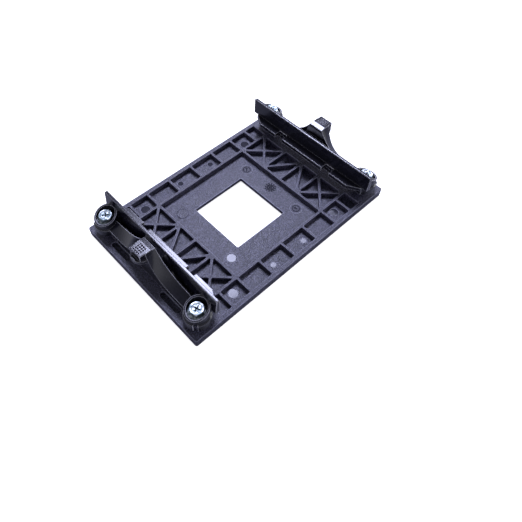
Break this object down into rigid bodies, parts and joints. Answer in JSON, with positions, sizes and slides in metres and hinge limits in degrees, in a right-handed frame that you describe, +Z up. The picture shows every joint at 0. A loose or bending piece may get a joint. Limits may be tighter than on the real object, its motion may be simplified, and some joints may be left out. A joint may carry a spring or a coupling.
{
  "type": "processor cooler retention bracket set",
  "caption": "Ribbed plastic back plate with a square window, carrying a pair of screwed-on clip brackets whose lugs hold a processor cooler to a main board.",
  "frame": {"origin": "centre of the back plate's underside, midway between the posts", "axes": "+X along the plate from the left bracket to the right one, +Y across the plate, +Z up from the plate towards the cooler"},
  "size_m": [0.1024, 0.0662, 0.0212],
  "materials": {
    "plate_plastic": "satin",
    "bracket_plastic": "satin",
    "zinc_steel": "bright zinc",
    "insert_brass": "turned"
  },
  "bodies": {
    "base": {"backplate": "plate_plastic", "threaded_insert_left_front": "insert_brass", "threaded_insert_left_rear": "insert_brass", "threaded_insert_right_front": "insert_brass", "threaded_insert_right_rear": "insert_brass"},
    "bracket_left": {"clip_bracket_left": "bracket_plastic"},
    "bracket_right": {"clip_bracket_right": "bracket_plastic"},
    "screw_left_front": {"mounting_screw_left_front": "zinc_steel"},
    "screw_left_rear": {"mounting_screw_left_rear": "zinc_steel"},
    "screw_right_front": {"mounting_screw_right_front": "zinc_steel"},
    "screw_right_rear": {"mounting_screw_right_rear": "zinc_steel"}
  },
  "joints": [
    {"name": "bracket_left_lift", "type": "slide", "parent": "base", "child": "bracket_left", "axis": [0, 0, 1], "range_m": [0, 0.015]},
    {"name": "bracket_right_lift", "type": "slide", "parent": "base", "child": "bracket_right", "axis": [0, 0, 1], "range_m": [0, 0.015]},
    {"name": "screw_left_front_out", "type": "slide", "parent": "bracket_left", "child": "screw_left_front", "axis": [0, 0, 1], "range_m": [0, 0.006]},
    {"name": "screw_left_rear_out", "type": "slide", "parent": "bracket_left", "child": "screw_left_rear", "axis": [0, 0, 1], "range_m": [0, 0.006]},
    {"name": "screw_right_front_out", "type": "slide", "parent": "bracket_right", "child": "screw_right_front", "axis": [0, 0, 1], "range_m": [0, 0.006]},
    {"name": "screw_right_rear_out", "type": "slide", "parent": "bracket_right", "child": "screw_right_rear", "axis": [0, 0, 1], "range_m": [0, 0.006]}
  ]
}
